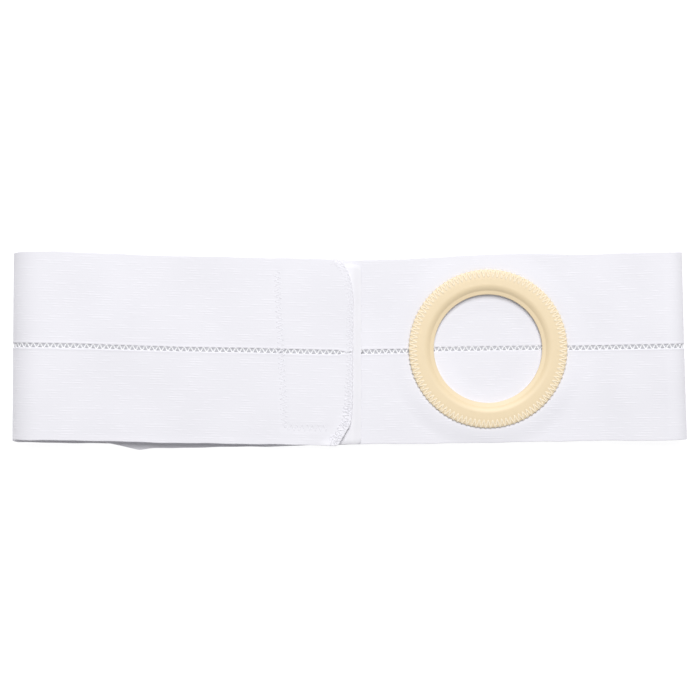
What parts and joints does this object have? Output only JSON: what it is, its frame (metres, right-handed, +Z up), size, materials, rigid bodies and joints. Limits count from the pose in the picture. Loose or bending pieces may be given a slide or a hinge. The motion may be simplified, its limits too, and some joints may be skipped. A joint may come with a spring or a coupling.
{
  "type": "ostomy support belt",
  "caption": "Wide elastic waist belt with an open seam, fastened into a flattened loop by hook tape, with a moulded ring whose round opening lets a pouch through.",
  "frame": {"origin": "under the middle of the belt's box, on the surface that its back panel lies on", "axes": "+X along the flattened loop towards the fold beside the ring, +Y across the belt to its upper edge, +Z up out of the ring's face"},
  "size_m": [0.3738, 0.1088, 0.023],
  "materials": {
    "elastic": "matt white woven elastic",
    "seam_thread": "white sewing thread",
    "hook_tape": "white woven hook tape with a plain edge",
    "ring_vinyl": "satin ivory moulding"
  },
  "bodies": {
    "root": {"upper_strip": "elastic", "lower_strip": "elastic", "inner_seam": "seam_thread", "outer_seam": "seam_thread", "hook_tape": "hook_tape", "belt_ring": "ring_vinyl"}
  },
  "joints": []
}
